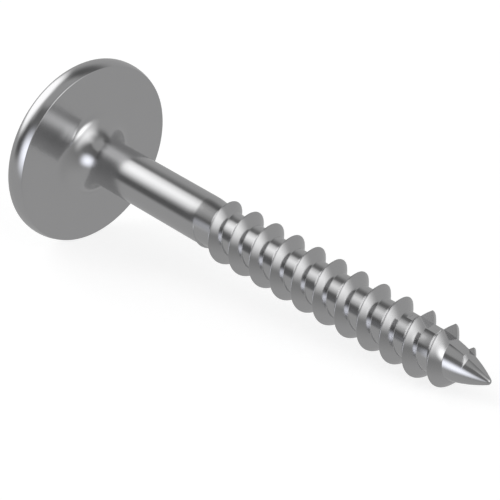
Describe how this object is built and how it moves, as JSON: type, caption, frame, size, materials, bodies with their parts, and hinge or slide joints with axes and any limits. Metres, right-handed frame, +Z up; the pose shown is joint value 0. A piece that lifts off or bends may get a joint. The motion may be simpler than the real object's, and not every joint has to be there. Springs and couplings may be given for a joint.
{
  "type": "wafer head timber screw",
  "caption": "Timber screw with a wide thin head, plain shank, coarse right-hand thread and a fluted sharp point, lying at rest on its head rim and thread.",
  "frame": {"origin": "centre of the bounding box on the ground, with the screw lying as it comes to rest", "axes": "+X from the head towards the point, +Z up; the screw's axis lies in the XZ plane and slopes down to the point by 8.3 degrees"},
  "size_m": [0.072, 0.0256, 0.0254],
  "materials": {
    "steel": "bright zinc-plated steel, smooth and softly mirror-like"
  },
  "bodies": {
    "root": {"screw": "steel"}
  },
  "joints": []
}
